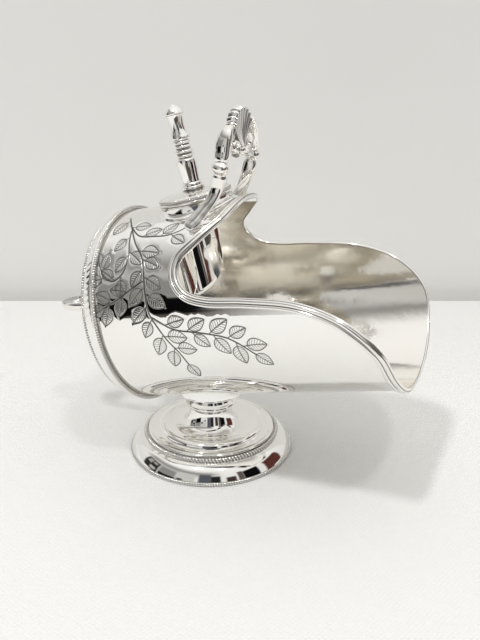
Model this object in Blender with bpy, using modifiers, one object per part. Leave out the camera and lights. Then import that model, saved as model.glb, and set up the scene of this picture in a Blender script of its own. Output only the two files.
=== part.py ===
"""A silver sugar scuttle with its scoop: a tilted horn-mouthed barrel on a turned pedestal foot.

Metres, +Z up, +X towards the mouth. The origin is on the table, at the middle of the footprint.
Turned pieces are Screw modifiers on a profile, sheet pieces are tubes cut by side outlines, and the
cast handles are lofted arms that meet in a scalloped shell. Touching pieces keep GAP apart.
"""

import math

import bmesh
import bpy
from mathutils import Matrix, Vector

MM = 0.001
GAP = 0.3 * MM

# Barrel: a thin tube whose axis rises towards the mouth.
BARREL_R = 45.0 * MM
BARREL_WALL = 1.2 * MM
BARREL_TILT = math.radians(11.8)
BARREL_AXIS_Z = 78.2 * MM
BARREL_REAR_U = -36.0 * MM
BARREL_FRONT_U = 95.0 * MM
BARREL_STEPS = 64

# The mouth's edge on the unrolled barrel: degrees round from the top, millimetres along the axis.
MOUTH_EDGE = (
    (0, 28.4), (24, 25.8), (41, 16.0), (51.5, 8.8), (58, 7.7), (64.5, 9.0), (70, 13.0),
    (73.3, 21.0), (75.2, 39.0), (79.8, 62.0), (91.3, 80.0), (109.5, 91.0), (132, 93.0), (180, 92.5),
)
MOUTH_STATIONS = 46
RIM_REED_R = (0.75 * MM, 0.65 * MM, 0.6 * MM)
RIM_BASE = 0.35 * MM

# Back end: a sloping band between two wires, with the back plate set inside it.
BEAD_FRONT_U, BEAD_FRONT_R = -33.5 * MM, 46.25 * MM
BEAD_REAR_U, BEAD_REAR_R = -41.2 * MM, 42.9 * MM
BEAD_WIRE_R = 0.8 * MM
BACK_PLATE_R = 41.6 * MM

# Foot, turned about the vertical.
FOOT_R = 40.2 * MM
FOOT_WIRE_R, FOOT_WIRE_Z, FOOT_WIRE_MINOR = 32.3 * MM, 9.7 * MM, 1.0 * MM
COLLAR_R = 16.4 * MM
TURNED_STEPS = 44

# Scoop and its socket, on an axis that stands on the barrel's top and leans back a little.
SOCKET_U = 6.3 * MM
SOCKET_LEAN = math.radians(3.0)
SOCKET_BORE_R = 15.6 * MM
SOCKET_WALL = 0.9 * MM
SOCKET_TOP = 46.9 * MM
FLANGE_R = 18.6 * MM
BOWL_R = 15.0 * MM
BOWL_WALL = 0.9 * MM
CAP_R = 16.9 * MM
SCOOP_STEPS = 36
HANDLE_STEPS = 20

# Handles, in the barrel's own frame. The crest is a shell whose front face leans forwards.
ARM_SIDES = 10
SHELL_SPREAD = math.radians(46)
CREST_ROOT_U, CREST_ROOT_W = 32.0 * MM, 65.8 * MM
CREST_TOP_U = 34.8 * MM
CREST_RADIUS = 17.8 * MM
CREST_THICKNESS = 4.4 * MM
REAR_HANDLE_W = 2.5 * MM
REAR_CREST_U = -71.6 * MM
REAR_CREST_RADIUS = 10.6 * MM

# How far the rear handle and the lip reach from the foot's axis; the origin is midway between them.
REAR_REACH = 81.28 * MM
FRONT_REACH = 100.02 * MM
FOOT_X = (REAR_REACH - FRONT_REACH) / 2

# Turns local Z, which turned pieces are made about, to point along the barrel.
LENGTHWAYS = (0, math.pi / 2, 0)

SILVER = {"colour": (0.86, 0.85, 0.83, 1.0), "roughness": 0.12, "metallic": 1.0}
SATIN_SILVER = {"colour": (0.84, 0.80, 0.74, 1.0), "roughness": 0.3, "metallic": 1.0}


def clear_scene():
    for obj in list(bpy.data.objects):
        bpy.data.objects.remove(obj, do_unlink=True)


def new_collection(name):
    made = bpy.data.collections.new(name)
    bpy.context.scene.collection.children.link(made)
    return made


def material(name, colour, roughness, metallic):
    made = bpy.data.materials.new(name)
    made.use_nodes = True
    shader = made.node_tree.nodes["Principled BSDF"]
    shader.inputs["Base Color"].default_value = colour
    shader.inputs["Roughness"].default_value = roughness
    shader.inputs["Metallic"].default_value = metallic
    return made


def finish_piece(obj, parent, look=SILVER):
    """Puts a finished piece in the model's collection, with its own material and smooth round faces."""
    for old in list(obj.users_collection):
        old.objects.unlink(obj)
    PARTS.objects.link(obj)
    obj.parent = parent
    obj.data.materials.clear()
    obj.data.materials.append(material(obj.name + "_finish", **look))
    if obj.type == "MESH":
        obj.data.shade_smooth()
        obj.data.set_sharp_from_angle(angle=math.radians(35))
    return obj


def finish_cutter(obj, parent):
    for old in list(obj.users_collection):
        old.objects.unlink(obj)
    CUTTERS.objects.link(obj)
    obj.parent = parent
    obj.hide_render = True
    obj.display_type = "WIRE"
    return obj


def empty(name, parent=None, location=(0, 0, 0), rotation=(0, 0, 0)):
    made = bpy.data.objects.new(name, None)
    made.location = location
    made.rotation_euler = rotation
    made.parent = parent
    PARTS.objects.link(made)
    return made


def mesh_object(name, mesh):
    made = bpy.data.objects.new(name, mesh)
    bpy.context.scene.collection.objects.link(made)
    return made


def turned(name, profile, steps):
    """A solid of revolution about local Z. The profile is (radius, height), outer side first, going down.

    A profile that starts and ends on the axis is a solid; any other one closes on itself as a ring.
    """
    mesh = bpy.data.meshes.new(name)
    points = [(radius, 0, height) for radius, height in profile]
    edges = [(i, i + 1) for i in range(len(points) - 1)]
    if profile[0][0] > 0:
        edges.append((len(points) - 1, 0))
    mesh.from_pydata(points, edges, [])
    made = mesh_object(name, mesh)
    screw = made.modifiers.new("turn", "SCREW")
    screw.steps = steps
    screw.render_steps = steps
    screw.use_merge_vertices = True
    screw.merge_threshold = 0.00001
    return made


def lathe(pairs):
    """Millimetre (radius, height) pairs as metres."""
    return [(radius * MM, height * MM) for radius, height in pairs]


def cylinder(name, radius, low, high, steps):
    """A closed cylinder about local Z."""
    return turned(name, [(0, high), (radius, high), (radius, low), (0, low)], steps)


def wire_ring(name, radius, height, wire_r, steps, sides=6):
    """A round wire bent to a circle about local Z."""
    arc = [2 * math.pi * i / sides for i in range(sides)]
    section = [(radius + wire_r * math.sin(a), height + wire_r * math.cos(a)) for a in arc]
    return turned(name, section, steps)


def cut(target, tool, operation="DIFFERENCE"):
    boolean = target.modifiers.new(operation.lower(), "BOOLEAN")
    boolean.operation = operation
    boolean.solver = "EXACT"
    boolean.object = tool


def smooth_path(controls, count):
    """Even points on the smooth curve through the controls, flat at both ends as a mirrored loop is."""
    first, last = controls[0], controls[-1]
    before = (2 * first[0] - controls[1][0], controls[1][1])
    after = (2 * last[0] - controls[-2][0], controls[-2][1])
    chain = [before, *controls, after]
    dense = []
    for i in range(1, len(chain) - 2):
        for k in range(24):
            dense.append(catmull_rom(chain[i - 1 : i + 3], k / 24))
    dense.append(Vector(last))
    return even_points(dense, count)


def catmull_rom(four, t):
    """A point between the middle two of four controls, with centripetal knots so that it never loops."""
    p = [Vector(v) for v in four]
    knots = [0.0]
    for a, b in zip(p, p[1:]):
        knots.append(knots[-1] + math.sqrt((b - a).length))
    x = knots[1] + t * (knots[2] - knots[1])

    def blend(a, b, start, end):
        share = (x - start) / (end - start)
        return a * (1 - share) + b * share

    a1 = blend(p[0], p[1], knots[0], knots[1])
    a2 = blend(p[1], p[2], knots[1], knots[2])
    a3 = blend(p[2], p[3], knots[2], knots[3])
    b1 = blend(a1, a2, knots[0], knots[2])
    b2 = blend(a2, a3, knots[1], knots[3])
    return blend(b1, b2, knots[1], knots[2])


def even_points(dense, count):
    """Count points at equal distances along a polyline."""
    lengths = [0.0]
    for a, b in zip(dense, dense[1:]):
        lengths.append(lengths[-1] + (b - a).length)
    points = []
    at = 0
    for i in range(count):
        wanted = lengths[-1] * i / (count - 1)
        while at < len(lengths) - 2 and lengths[at + 1] < wanted:
            at += 1
        share = (wanted - lengths[at]) / (lengths[at + 1] - lengths[at])
        points.append(dense[at].lerp(dense[at + 1], share))
    return points


def mouth_edge():
    """The mouth's edge as (distance round the barrel from its top, distance along its axis)."""
    controls = [(math.radians(turn) * BARREL_R, u * MM) for turn, u in MOUTH_EDGE]
    return smooth_path(controls, MOUTH_STATIONS)


def slab(name, outline, depth):
    """A closed prism: an outline in local X and Z, run along Y from -depth to +depth."""
    mesh = bpy.data.meshes.new(name)
    shape = bmesh.new()
    face = shape.faces.new([shape.verts.new((x, -depth, z)) for x, z in outline])
    moved = bmesh.ops.extrude_face_region(shape, geom=[face])["geom"]
    far = [v for v in moved if isinstance(v, bmesh.types.BMVert)]
    bmesh.ops.translate(shape, verts=far, vec=(0, 2 * depth, 0))
    bmesh.ops.recalc_face_normals(shape, faces=shape.faces)
    shape.to_mesh(mesh)
    shape.free()
    return mesh_object(name, mesh)


def loop_of_rings(name, rings):
    """A closed ring-shaped solid through a loop of equal cross-sections."""
    mesh = bpy.data.meshes.new(name)
    shape = bmesh.new()
    rows = [[shape.verts.new(point) for point in ring] for ring in rings]
    for i, row in enumerate(rows):
        following = rows[(i + 1) % len(rows)]
        for k in range(len(row)):
            m = (k + 1) % len(row)
            shape.faces.new((row[k], row[m], following[m], following[k]))
    bmesh.ops.recalc_face_normals(shape, faces=shape.faces)
    shape.to_mesh(mesh)
    shape.free()
    return mesh_object(name, mesh)


def build_barrel(frame):
    """A tube along the frame's X, cut to the mouth's outline and bored for the scoop."""
    inner_r = BARREL_R - BARREL_WALL
    section = [
        (BARREL_R, BARREL_FRONT_U),
        (BARREL_R, BARREL_REAR_U),
        (inner_r, BARREL_REAR_U),
        (inner_r, BARREL_FRONT_U),
    ]
    barrel = turned("barrel", section, BARREL_STEPS)
    barrel.rotation_euler = LENGTHWAYS

    margin = 2 * BARREL_WALL
    edge = [(u, BARREL_R * math.cos(around / BARREL_R)) for around, u in mouth_edge()]
    top, bottom = edge[0][0], edge[-1][0]
    ahead = BARREL_FRONT_U + margin
    high, low = BARREL_R + margin, -BARREL_R - margin
    outline = [(ahead, high), (top, high), *edge, (bottom, low), (ahead, low)]
    mouth = finish_cutter(slab("mouth_cutter", outline, BARREL_R + margin), frame)
    cut(barrel, mouth)

    hole_r = SOCKET_BORE_R + GAP
    hole = cylinder("scoop_hole_cutter", hole_r, BARREL_R / 2, 1.2 * BARREL_R, SCOOP_STEPS)
    hole.location = (SOCKET_U, 0, 0)
    hole.rotation_euler = (0, -SOCKET_LEAN, 0)
    finish_cutter(hole, frame)
    cut(barrel, hole)
    return finish_piece(barrel, frame, SATIN_SILVER)


def rim_section():
    """The applied band's section as (distance in from the edge, height over the barrel)."""
    section = []
    across = 0.0
    for reed_r in RIM_REED_R:
        for turn in (35, 90, 145):
            angle = math.radians(turn)
            spot = across + reed_r * (1 - math.cos(angle))
            section.append((spot, RIM_BASE + reed_r * math.sin(angle)))
        across += 2 * reed_r
    section += [(across, RIM_BASE), (across, 0.0), (0.0, 0.0), (0.0, RIM_BASE)]
    return section


def build_mouth_rim(frame):
    """Three reeds that follow the mouth's edge all the way round, on the outside of the barrel."""
    half = mouth_edge()
    path = half + [Vector((-p.x, p.y)) for p in reversed(half[1:-1])]
    section = rim_section()
    base_r = BARREL_R + GAP
    rings = []
    for i, point in enumerate(path):
        before, after = path[i - 1], path[(i + 1) % len(path)]
        run = after - before
        lap = 2 * math.pi * BARREL_R
        run.x -= lap * round(run.x / lap)
        inward = Vector((run.y, -run.x)).normalized()
        ring = []
        for across, over in section:
            spot = point + inward * across
            angle = spot.x / BARREL_R
            radius = base_r + over
            ring.append((spot.y, radius * math.sin(angle), radius * math.cos(angle)))
        rings.append(ring)
    return finish_piece(loop_of_rings("mouth_rim", rings), frame)


def build_back(frame):
    """The back plate, the sloping band that covers its seam, and the two wires along the band."""
    collar_r = BARREL_R + GAP
    inside_r = BACK_PLATE_R + GAP
    start = BEAD_FRONT_U - BEAD_WIRE_R - GAP
    step = BARREL_REAR_U - GAP
    end = BEAD_REAR_U + BEAD_WIRE_R + GAP
    slope = [(46.5 * MM, start), (46.1 * MM, step), (43.5 * MM, end)]
    inside = [(inside_r, end), (inside_r, step), (collar_r, step), (collar_r, start)]
    band = turned("back_band", slope + inside, BARREL_STEPS)
    plate = turned(
        "back_plate",
        lathe([(0, -37.6), (41.6, -37.6), (41.6, -38.8), (38, -39.4), (30, -39.9), (0, -40.6)]),
        BARREL_STEPS,
    )
    front = wire_ring("back_wire_front", BEAD_FRONT_R, BEAD_FRONT_U, BEAD_WIRE_R, BARREL_STEPS)
    rear = wire_ring("back_wire_rear", BEAD_REAR_R, BEAD_REAR_U, BEAD_WIRE_R, BARREL_STEPS)
    for piece in (band, plate, front, rear):
        piece.rotation_euler = LENGTHWAYS
        finish_piece(piece, frame)


def barrel_plug(name, radius, frame):
    """A solid cylinder on the barrel's axis, to cut or trim what sits on the barrel."""
    plug = cylinder(name, radius, BARREL_REAR_U, BARREL_FRONT_U, 2 * BARREL_STEPS)
    plug.rotation_euler = LENGTHWAYS
    return finish_cutter(plug, frame)


def build_socket(frame, axis):
    """The scoop's socket: a short tube with a saddle flange that follows the barrel."""
    low = 0.75 * BARREL_R
    flange = cylinder("scoop_socket", FLANGE_R, low, SOCKET_TOP + GAP, SCOOP_STEPS)
    tube_r = SOCKET_BORE_R + SOCKET_WALL
    tube = cylinder("socket_tube_cutter", tube_r, low, SOCKET_TOP, SCOOP_STEPS)
    bore = cylinder("socket_bore_cutter", SOCKET_BORE_R, low / 2, 2 * SOCKET_TOP, SCOOP_STEPS)
    finish_cutter(tube, axis)
    finish_cutter(bore, axis)
    cut(flange, barrel_plug("flange_top_cutter", BARREL_R + GAP + SOCKET_WALL, frame), "INTERSECT")
    cut(flange, tube, "UNION")
    cut(flange, barrel_plug("socket_saddle_cutter", BARREL_R + GAP, frame))
    cut(flange, bore)
    finish_piece(flange, axis)


def build_scoop(axis):
    """The scoop: a hooded bowl under a domed cap, with a turned baluster handle on top."""
    bowl_inner = BOWL_R - BOWL_WALL
    bowl_top = SOCKET_TOP
    bowl = turned(
        "scoop_bowl",
        [(BOWL_R, bowl_top), (BOWL_R, 0), (bowl_inner, 0), (bowl_inner, bowl_top)],
        SCOOP_STEPS,
    )
    side = lathe([
        (18, 41), (15, 40.5), (8.5, 38.5), (3, 35.3), (-0.3, 31), (-0.9, 24), (-1.5, 16), (-4, 9.4),
        (-8.5, 4.2), (-13, 1.4), (-18, 0.6),
    ])
    outline = [*side, (-18 * MM, -3 * MM), (18 * MM, -3 * MM)]
    mouth = finish_cutter(slab("bowl_cutter", outline, 18 * MM), axis)
    cut(bowl, mouth)

    cap = turned(
        "scoop_cap",
        lathe([
            (0, 51.2), (6, 51.0), (11, 50.5), (14.6, 49.9), (15.2, 49.5), (15.2, 48.2),
            (16.4, 48.2), (CAP_R / MM, 47.9), (CAP_R / MM, 47.4), (16.6, 47.2), (0, 47.2),
        ]),
        SCOOP_STEPS,
    )
    cap_wire = wire_ring("scoop_cap_wire", 16.15 * MM, 49.15 * MM, 0.62 * MM, SCOOP_STEPS)

    lower = turned(
        "scoop_handle_shank",
        lathe([
            (0, 65.4), (3.6, 65.4), (4.3, 64.6), (4.4, 61.5), (4.0, 57), (4.0, 54.6), (4.6, 53.8),
            (5.0, 53.0), (5.0, 52.2), (4.6, 51.5), (0, 51.5),
        ]),
        HANDLE_STEPS,
    )
    knops = turned(
        "scoop_handle_knops",
        lathe([
            (0, 73.3), (3.6, 73.3), (4.2, 72.5), (3.6, 71.7), (3.1, 71.2), (3.7, 70.6), (4.4, 69.6),
            (3.7, 68.6), (3.1, 68.1), (3.6, 67.5), (4.2, 66.7), (3.6, 65.7), (0, 65.7),
        ]),
        HANDLE_STEPS,
    )
    finial = turned(
        "scoop_handle_finial",
        lathe([
            (0, 89.4), (1.6, 89.1), (3.1, 88.2), (4.1, 86.9), (4.3, 85.8), (3.6, 84.8), (3.2, 82.5),
            (3.2, 79.5), (3.8, 76.5), (4.3, 75.0), (4.2, 74.2), (3.4, 73.6), (0, 73.6),
        ]),
        HANDLE_STEPS,
    )
    for piece in (bowl, cap, cap_wire, lower, knops, finial):
        finish_piece(piece, axis)


def build_foot(stand, frame):
    """The turned pedestal, from the saddle collar under the barrel down to the wire it stands on."""
    collar = turned(
        "foot_collar",
        lathe([
            (0, 42), (COLLAR_R / MM, 42), (COLLAR_R / MM, 31.2), (15.6, 30.3), (13.2, 29.4),
            (11.2, 28.5), (9.9, 27.5), (9.4, 26.4), (0, 26.4),
        ]),
        TURNED_STEPS,
    )
    cut(collar, barrel_plug("collar_saddle_cutter", BARREL_R + GAP, frame))
    knop = turned(
        "foot_knop",
        lathe([
            (0, 26.1), (10.6, 26.1), (11.9, 25.6), (12.5, 24.6), (11.9, 23.6), (10.8, 23.1),
            (10.0, 22.3), (9.8, 21.9), (0, 21.9),
        ]),
        TURNED_STEPS,
    )
    stem = turned(
        "foot_stem",
        lathe([
            (0, 21.6), (9.7, 21.6), (10.1, 20.0), (11.0, 17.6), (12.1, 15.4), (13.8, 13.7), (16.2, 12.8),
            (19.0, 12.9), (21.4, 13.6), (22.8, 14.0), (24.4, 13.7), (25.4, 13.0), (25.7, 12.2), (25.6, 11.8),
            (26.6, 11.2), (28.2, 11.0), (29.6, 11.4), (30.9, 11.1), (30.9, 10.0), (25.5, 9.9), (20.2, 10.3),
            (14.0, 11.6), (11.0, 14.2), (9.4, 17.6), (8.4, 20.4), (0, 20.4),
        ]),
        TURNED_STEPS,
    )
    flare = turned(
        "foot_flare",
        lathe([
            (30.9, 9.6), (31.0, 8.4), (33.4, 8.2), (34.8, 7.5), (36.2, 6.5), (37.4, 5.2), (38.4, 3.8),
            (39.2, 2.6), (39.5, 2.1), (38.3, 2.1), (37.3, 3.4), (36.2, 4.8), (34.9, 6.0), (33.0, 7.1),
            (29.2, 7.6), (29.2, 9.6),
        ]),
        TURNED_STEPS,
    )
    shoulder_wire = wire_ring("foot_shoulder_wire", FOOT_WIRE_R, FOOT_WIRE_Z, FOOT_WIRE_MINOR, TURNED_STEPS)
    edge_wire = turned(
        "foot_edge_wire",
        lathe([
            (38.7, 1.8), (39.7, 1.7), (FOOT_R / MM, 1.0), (39.9, 0.3), (39.6, 0), (37.6, 0), (37.6, 1.0),
        ]),
        TURNED_STEPS,
    )
    for piece in (collar, knop, stem, flare, shoulder_wire, edge_wire):
        finish_piece(piece, stand)


def cast_arm(name, stations, wide_way, parent):
    """A cast arm lofted through (x, y, z, half width, half thickness) stations, in millimetres.

    Its width lies as near wide_way as the arm's own direction allows.
    """
    centres = [Vector(station[:3]) * MM for station in stations]
    mesh = bpy.data.meshes.new(name)
    shape = bmesh.new()
    rows = []
    for i, station in enumerate(stations):
        run = centres[min(i + 1, len(centres) - 1)] - centres[max(i - 1, 0)]
        run.normalize()
        across = (wide_way - run * run.dot(wide_way)).normalized()
        outward = run.cross(across)
        half_width, half_thickness = station[3] * MM, station[4] * MM
        row = []
        for k in range(ARM_SIDES):
            turn = 2 * math.pi * (k + 0.5) / ARM_SIDES
            offset = across * half_width * math.cos(turn) + outward * half_thickness * math.sin(turn)
            row.append(shape.verts.new(centres[i] + offset))
        rows.append(row)
    for low, high in zip(rows, rows[1:]):
        for k in range(ARM_SIDES):
            m = (k + 1) % ARM_SIDES
            shape.faces.new((low[k], low[m], high[m], high[k]))
    shape.faces.new(rows[0])
    shape.faces.new(rows[-1])
    bmesh.ops.recalc_face_normals(shape, faces=shape.faces)
    shape.to_mesh(mesh)
    shape.free()
    return finish_piece(mesh_object(name, mesh), parent)


def shell_outline(radius, lobes, spread, root_r):
    """The scallop shell's outline in X and Z: a tall fan of equal lobes over a small round root."""
    outline = []
    per_lobe = 4
    count = lobes * per_lobe
    for i in range(count + 1):
        share = 2 * i / count - 1
        swell = abs(math.sin(math.pi * i / per_lobe))
        reach = radius * (0.95 + 0.05 * swell - 0.16 * share * share)
        outline.append((reach * math.sin(spread * share), reach * math.cos(spread * share)))
    for i in range(5):
        turn = math.pi * (0.6 + 0.2 * i)
        outline.append((root_r * math.sin(turn), root_r * math.cos(turn)))
    return outline


def shell_crest(name, radius, thickness, place, volute_r, parent):
    """A scallop shell standing on its root, with a scroll boss on either side of the root."""
    outline = shell_outline(radius, 9, SHELL_SPREAD, 0.14 * radius)
    shell = slab(name, outline, thickness / 2)
    finish_piece(shell, parent)
    shell.matrix_local = place
    for side, label in ((-1, "left"), (1, "right")):
        reach = 0.52 * thickness
        boss = cylinder(f"{name}_scroll_{label}_cutter", volute_r, -reach, reach, 14)
        finish_cutter(boss, parent)
        spot = Matrix.Translation((side * 0.32 * radius, 0, 0.15 * radius))
        boss.matrix_local = place @ spot @ Matrix.Rotation(math.pi / 2, 4, "X")
        cut(shell, boss, "UNION")
    return shell


def build_top_handle(frame):
    """The fixed carrying handle over the hood: two strap arms on pads, joined by a shell crest."""
    stations = (
        (10.2, 25.0, 40.2, 2.2, 1.1), (12.2, 24.0, 41.6, 3.2, 1.5), (15.6, 21.4, 44.2, 3.0, 1.5),
        (19.6, 18.2, 47.8, 2.6, 1.6), (23.6, 16.4, 53.0, 2.7, 1.7), (26.2, 17.0, 58.4, 2.9, 2.1),
        (27.3, 17.2, 61.0, 3.4, 3.0), (28.0, 16.6, 63.6, 2.9, 2.0), (28.8, 15.9, 66.6, 3.3, 1.9),
        (29.6, 15.2, 69.8, 3.4, 1.9), (30.5, 14.4, 72.6, 3.2, 1.8), (31.3, 12.9, 75.2, 2.6, 1.6),
    )
    for side, label in ((-1, "left"), (1, "right")):
        mirrored = [(x, side * y, z, width, thick) for x, y, z, width, thick in stations]
        cast_arm(f"handle_arm_{label}", mirrored, Vector((1, 0, 0)), frame)
    lean = math.atan2(CREST_TOP_U - CREST_ROOT_U, CREST_RADIUS)
    middle = CREST_ROOT_U - CREST_THICKNESS / 2
    place = (
        Matrix.Translation((middle, 0, CREST_ROOT_W))
        @ Matrix.Rotation(lean, 4, "Y")
        @ Matrix.Rotation(math.pi / 2, 4, "Z")
    )
    shell_crest("handle_crest", CREST_RADIUS, CREST_THICKNESS, place, 2.6 * MM, frame)


def build_rear_handle(frame):
    """The small lifting handle behind the back plate: the same pattern, lying level."""
    height = REAR_HANDLE_W / MM
    stations = (
        (-40.9, 9.6, height, 3.2, 3.0), (-42.6, 9.5, height, 2.8, 2.6), (-46.5, 8.0, height, 1.9, 1.5),
        (-52.5, 7.2, height, 1.9, 1.4), (-57.0, 8.0, height, 2.0, 1.5), (-59.5, 8.4, height, 2.5, 2.2),
        (-62.0, 8.2, height, 2.0, 1.5), (-66.5, 8.4, height, 2.2, 1.4), (-73.6, 7.4, height, 2.1, 1.3),
    )
    for side, label in ((-1, "left"), (1, "right")):
        mirrored = [(x, side * y, z, width, thick) for x, y, z, width, thick in stations]
        cast_arm(f"rear_handle_arm_{label}", mirrored, Vector((0, 0, 1)), frame)
    place = (
        Matrix.Translation((REAR_CREST_U, 0, REAR_HANDLE_W))
        @ Matrix.Rotation(-math.pi / 2, 4, "Y")
        @ Matrix.Rotation(math.pi / 2, 4, "Z")
    )
    shell_crest("rear_handle_crest", REAR_CREST_RADIUS, 3.0 * MM, place, 1.7 * MM, frame)


def build_scuttle():
    stand = empty("stand", location=(FOOT_X, 0, 0))
    barrel_frame = empty("barrel_frame", stand, (0, 0, BARREL_AXIS_Z), (0, -BARREL_TILT, 0))
    scoop_axis = empty("scoop_axis", barrel_frame, (SOCKET_U, 0, 0), (0, -SOCKET_LEAN, 0))
    bpy.context.view_layer.update()
    build_barrel(barrel_frame)
    build_mouth_rim(barrel_frame)
    build_back(barrel_frame)
    build_socket(barrel_frame, scoop_axis)
    build_scoop(scoop_axis)
    build_foot(stand, barrel_frame)
    build_top_handle(barrel_frame)
    build_rear_handle(barrel_frame)


clear_scene()
PARTS = new_collection("sugar_scuttle")
CUTTERS = new_collection("cutters")
build_scuttle()
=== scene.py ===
"""The looks of the silver sugar scuttle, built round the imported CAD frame.

Every piece is a fine mesh of the CAD piece's own size that stands for it. Shapes are worked out in
millimetres in the frame of the barrel, the scoop or the foot, and are placed in the row frame.
"""

import math

import bpy
import numpy as np
from mathutils import Matrix, Vector
from mathutils.geometry import delaunay_2d_cdt


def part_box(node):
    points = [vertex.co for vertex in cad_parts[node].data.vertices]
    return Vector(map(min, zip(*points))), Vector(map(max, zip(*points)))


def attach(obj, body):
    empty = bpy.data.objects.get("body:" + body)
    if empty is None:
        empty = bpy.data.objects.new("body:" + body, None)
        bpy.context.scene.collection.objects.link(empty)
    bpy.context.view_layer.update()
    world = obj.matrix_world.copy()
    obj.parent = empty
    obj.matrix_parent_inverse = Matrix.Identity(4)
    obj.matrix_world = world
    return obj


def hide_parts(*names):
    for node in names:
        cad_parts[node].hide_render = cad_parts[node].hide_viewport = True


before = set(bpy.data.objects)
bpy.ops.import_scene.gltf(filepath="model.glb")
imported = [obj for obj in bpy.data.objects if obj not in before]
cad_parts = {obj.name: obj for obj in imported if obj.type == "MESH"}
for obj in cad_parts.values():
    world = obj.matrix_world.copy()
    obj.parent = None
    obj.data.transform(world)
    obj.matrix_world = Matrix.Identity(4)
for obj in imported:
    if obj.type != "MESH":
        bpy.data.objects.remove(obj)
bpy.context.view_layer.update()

MM = 0.001

# The barrel: its axis rises towards the mouth. U is along the axis, W is square to it and up.
BARREL_R, BARREL_WALL = 45.0, 1.2
TILT = math.radians(11.8)
AXIS_Z = 78.2
REAR_U = -36.0

# The mouth's edge: degrees round from the top, millimetres along the axis.
MOUTH_EDGE = (
    (0, 28.4), (24, 25.8), (41, 16.0), (51.5, 8.8), (58, 7.7), (64.5, 9.0), (70, 13.0),
    (73.3, 21.0), (75.2, 39.0), (79.8, 62.0), (91.3, 80.0), (109.5, 91.0), (132, 93.0), (180, 92.5),
)

# The scoop and its socket stand on the barrel, and lean back.
SOCKET_U, SOCKET_TOP = 6.3, 46.9
LEAN = math.radians(3.0)
BORE_R, SOCKET_R, FLANGE_R = 15.6, 16.5, 18.6
BOWL_R, BOWL_WALL = 15.0, 0.9

foot_low, foot_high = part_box("foot_edge_wire")
FOOT_X = (foot_low.x + foot_high.x) / 2 / MM
FOOT_R = (foot_high.x - foot_low.x) / 2 / MM


def shift(x, y, z):
    """A move given in millimetres."""
    return Matrix.Translation((x * MM, y * MM, z * MM))


STAND = shift(FOOT_X, 0, 0)
BARREL = STAND @ shift(0, 0, AXIS_Z) @ Matrix.Rotation(-TILT, 4, "Y")
LENGTHWAYS = BARREL @ Matrix.Rotation(math.pi / 2, 4, "Y")
SCOOP = BARREL @ shift(SOCKET_U, 0, 0) @ Matrix.Rotation(-LEAN, 4, "Y")


# ---- Curves and outlines ----


def catmull_rom(points, per_span):
    """A smooth curve through the points, with centripetal knots; rows may hold any number of values."""
    p = np.asarray(points, float)
    p = np.vstack([2 * p[0] - p[1], p, 2 * p[-1] - p[-2]])
    knots = np.concatenate([[0], np.cumsum(np.sqrt(np.linalg.norm(np.diff(p, axis=0), axis=1)))])
    out = []
    for i in range(1, len(p) - 2):
        k0, k1, k2, k3 = knots[i - 1 : i + 3]
        x = np.linspace(k1, k2, per_span, endpoint=False)[:, None]
        a1 = p[i - 1] * (k1 - x) / (k1 - k0) + p[i] * (x - k0) / (k1 - k0)
        a2 = p[i] * (k2 - x) / (k2 - k1) + p[i + 1] * (x - k1) / (k2 - k1)
        a3 = p[i + 1] * (k3 - x) / (k3 - k2) + p[i + 2] * (x - k2) / (k3 - k2)
        b1 = a1 * (k2 - x) / (k2 - k0) + a2 * (x - k0) / (k2 - k0)
        b2 = a2 * (k3 - x) / (k3 - k1) + a3 * (x - k1) / (k3 - k1)
        out.append(b1 * (k2 - x) / (k2 - k1) + b2 * (x - k1) / (k2 - k1))
    return np.vstack([*out, p[-2:-1]])


def evenly(path, count):
    """Count points at equal distances along a path, by its first two or three values."""
    path = np.asarray(path, float)
    space = path[:, : min(3, path.shape[1])]
    along = np.concatenate([[0], np.cumsum(np.linalg.norm(np.diff(space, axis=0), axis=1))])
    wanted = np.linspace(0, along[-1], count)
    return np.stack([np.interp(wanted, along, column) for column in path.T], axis=1)


def spaced(path, step):
    """Points about one step apart along a path."""
    path = np.asarray(path, float)
    length = np.linalg.norm(np.diff(path[:, :2], axis=0), axis=1).sum()
    return evenly(path, max(2, int(round(length / step)) + 1))


def arc(x, z, radius, start, end, count):
    """Points on an arc; angles in degrees from the X axis."""
    turns = np.radians(np.linspace(start, end, count))
    return [(x + radius * math.cos(t), z + radius * math.sin(t)) for t in turns]


def full_turn(count):
    """Angles spread evenly round a circle."""
    return np.linspace(0, 2 * math.pi, count, endpoint=False)


def unit(rows):
    """The same directions, each one long."""
    return rows / np.linalg.norm(rows, axis=1)[:, None]


def mouth_edge(count):
    """The mouth's half edge as (distance round the barrel from its top, distance along it)."""
    half = [(math.radians(turn) * BARREL_R, u) for turn, u in MOUTH_EDGE]
    first, last = half[0], half[-1]
    mirrored = [(-half[1][0], half[1][1]), *half, (2 * last[0] - half[-2][0], half[-2][1])]
    dense = catmull_rom(mirrored, 24)[24:-24]
    dense[0], dense[-1] = first, last
    return evenly(dense, count)


# ---- Meshes ----


def closed_rings(rings, loop=False):
    """Points and faces of a solid through rings of equal count: a closed loop, or capped at its ends."""
    rings = np.asarray(rings, float)
    n, m = rings.shape[:2]
    index = np.arange(n * m).reshape(n, m)
    if loop:
        low, high = index, np.roll(index, -1, axis=0)
    else:
        low, high = index[:-1], index[1:]
    quads = np.stack(
        [low, np.roll(low, -1, axis=1), np.roll(high, -1, axis=1), high], axis=-1
    ).reshape(-1, 4)
    points = rings.reshape(-1, 3)
    faces = quads.tolist()
    if not loop:
        for end, row in ((0, index[0][::-1]), (-1, index[-1])):
            centre = len(points)
            points = np.vstack([points, rings[end].mean(axis=0)])
            faces += [[centre, int(row[k]), int(row[(k + 1) % m])] for k in range(m)]
    return facing_out(points, faces)


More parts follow.
